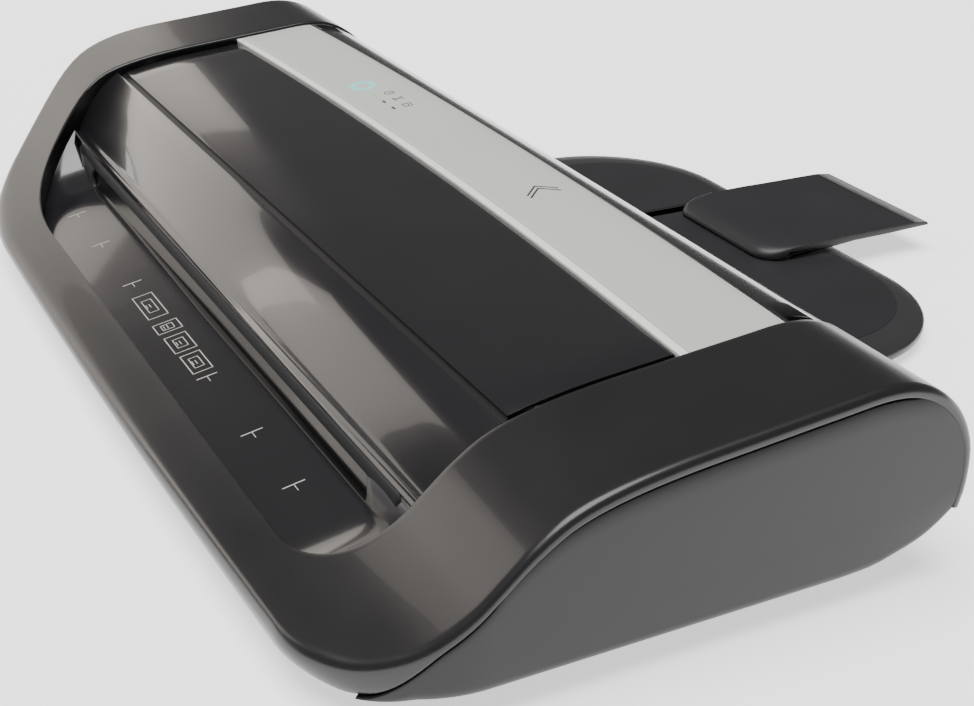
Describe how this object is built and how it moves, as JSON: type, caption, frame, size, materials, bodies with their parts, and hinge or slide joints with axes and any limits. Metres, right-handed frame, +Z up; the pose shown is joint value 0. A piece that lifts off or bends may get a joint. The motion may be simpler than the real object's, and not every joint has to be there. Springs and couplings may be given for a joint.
{
  "type": "pouch laminator",
  "caption": "A3 pouch laminator with a wrap-round gloss casing, entry tray and mouth, touch control strip, geared hot and pull rollers, and a sliding exit tray with a tongue.",
  "frame": {"origin": "centre of the overall box on the surface that the machine stands on", "axes": "+X along the machine, to the right of a user at the entry side; +Y from the entry side to the exit side; +Z up"},
  "size_m": [0.56, 0.441, 0.0826],
  "materials": {
    "casing_gloss": "gloss moulded",
    "cover_gloss": "gloss moulded",
    "end_panel_matt": "fine matt texture",
    "dark_plastic": "satin moulded",
    "control_grey": "satin",
    "strip_white": "gloss bevel",
    "light_guide": "translucent light guide",
    "status_green": "translucent light guide",
    "exit_plastic": "fine matt texture",
    "foot_rubber": "matt",
    "steel_plate": "zinc plated",
    "guide_metal": "coated sheet",
    "heater_alloy": "extruded",
    "shaft_steel": "ground",
    "spring_steel": "drawn wire",
    "silicone_red": "ground silicone rubber",
    "roller_grey": "ground rubber",
    "gear_nylon": "moulded nylon",
    "brass": "sintered",
    "board_green": "solder mask",
    "motor_can": "plated can"
  },
  "bodies": {
    "machine": {"casing": "casing_gloss", "end_panel_left": "end_panel_matt", "end_panel_right": "end_panel_matt", "base_shell": "dark_plastic", "input_tray": "cover_gloss", "mouth_bezel": "cover_gloss", "mouth_lip": "dark_plastic", "front_cover": "cover_gloss", "upper_cover": "cover_gloss", "control_panel": "control_grey", "panel_edge_strip": "strip_white", "power_light_ring": "light_guide", "status_lights": "status_green", "rear_cover": "dark_plastic", "rear_panel": "dark_plastic", "inlet_panel": "dark_plastic", "mains_inlet": "dark_plastic", "rubber_feet": "foot_rubber", "base_screws": "steel_plate", "tray_rails": "dark_plastic", "side_frame_left": "steel_plate", "side_frame_right": "steel_plate", "tie_bars": "steel_plate", "lower_bushes": "brass", "upper_bushes": "brass", "pressure_springs": "spring_steel", "lower_guide": "guide_metal", "upper_guide": "guide_metal", "exit_guides": "guide_metal", "heater_plates": "heater_alloy", "thermostat": "gear_nylon", "entry_sensor": "dark_plastic", "control_board": "board_green", "power_board": "board_green", "motor": "motor_can", "motor_bracket": "steel_plate", "idler_pin": "shaft_steel"},
    "hot_lower": {"hot_lower_shaft": "shaft_steel", "hot_lower_sleeve": "silicone_red", "hot_lower_gears": "gear_nylon"},
    "hot_upper": {"hot_upper_shaft": "shaft_steel", "hot_upper_sleeve": "silicone_red", "hot_upper_gear": "gear_nylon"},
    "pull_lower": {"pull_lower_shaft": "shaft_steel", "pull_lower_sleeve": "roller_grey", "pull_lower_gears": "gear_nylon"},
    "pull_upper": {"pull_upper_shaft": "shaft_steel", "pull_upper_sleeve": "roller_grey", "pull_upper_gear": "gear_nylon"},
    "idler": {"idler_gear": "gear_nylon"},
    "pinion": {"motor_pinion": "brass"},
    "tray": {"exit_tray": "exit_plastic"},
    "tongue": {"exit_tongue": "exit_plastic"}
  },
  "joints": [
    {"name": "hot_lower_spin", "type": "hinge", "parent": "machine", "child": "hot_lower", "pos_m": [0, -0.1025, 0.0267], "axis": [1, 0, 0], "continuous": true},
    {"name": "hot_upper_spin", "type": "hinge", "parent": "machine", "child": "hot_upper", "pos_m": [0, -0.1025, 0.0453], "axis": [1, 0, 0], "continuous": true},
    {"name": "pull_lower_spin", "type": "hinge", "parent": "machine", "child": "pull_lower", "pos_m": [0, -0.0425, 0.0267], "axis": [1, 0, 0], "continuous": true},
    {"name": "pull_upper_spin", "type": "hinge", "parent": "machine", "child": "pull_upper", "pos_m": [0, -0.0425, 0.0453], "axis": [1, 0, 0], "continuous": true},
    {"name": "idler_spin", "type": "hinge", "parent": "machine", "child": "idler", "pos_m": [0, -0.0725, 0.0427], "axis": [1, 0, 0], "continuous": true},
    {"name": "pinion_spin", "type": "hinge", "parent": "machine", "child": "pinion", "pos_m": [0, -0.04431, 0.05296], "axis": [1, 0, 0], "continuous": true},
    {"name": "tray_slide", "type": "slide", "parent": "machine", "child": "tray", "axis": [0, 1, 0], "range_m": [-0.09, 0]},
    {"name": "tongue_slide", "type": "slide", "parent": "tray", "child": "tongue", "axis": [0, 1, 0], "range_m": [-0.05, 0]}
  ],
  "couplings": [
    {"joint": "hot_upper_spin", "follows": "hot_lower_spin", "ratio": -1},
    {"joint": "idler_spin", "follows": "hot_lower_spin", "ratio": -0.41667},
    {"joint": "pull_lower_spin", "follows": "hot_lower_spin", "ratio": 1},
    {"joint": "pull_upper_spin", "follows": "hot_lower_spin", "ratio": -1},
    {"joint": "pinion_spin", "follows": "hot_lower_spin", "ratio": 1.6667}
  ]
}
